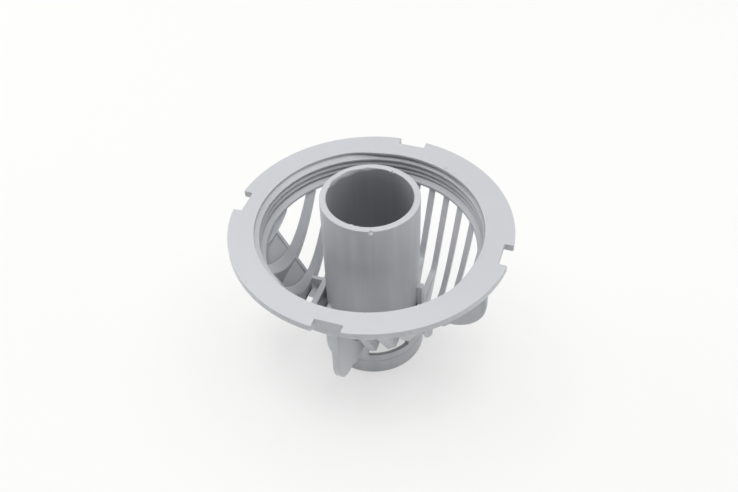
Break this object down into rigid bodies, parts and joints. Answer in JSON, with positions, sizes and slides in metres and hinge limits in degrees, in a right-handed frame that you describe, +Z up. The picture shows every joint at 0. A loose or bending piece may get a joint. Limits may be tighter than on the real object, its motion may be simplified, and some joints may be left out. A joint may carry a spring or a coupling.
{
  "type": "wash filter",
  "caption": "Round one-piece wash filter: notched flange, internally threaded ring, bowl of parallel slats round an open standing tube, fins and a short collar below.",
  "frame": {"origin": "centre of the lower edge of the collar, on which the part stands", "axes": "+Z up along the tube; +X along the keel that ties the slats together, towards the small key on the tube; +Y along the slats"},
  "size_m": [0.1156, 0.1156, 0.083],
  "materials": {
    "grey_plastic": "satin moulded plastic, light bluish grey, with a faint grain and flow streaks"
  },
  "bodies": {
    "root": {"filter_body": "grey_plastic"}
  },
  "joints": []
}
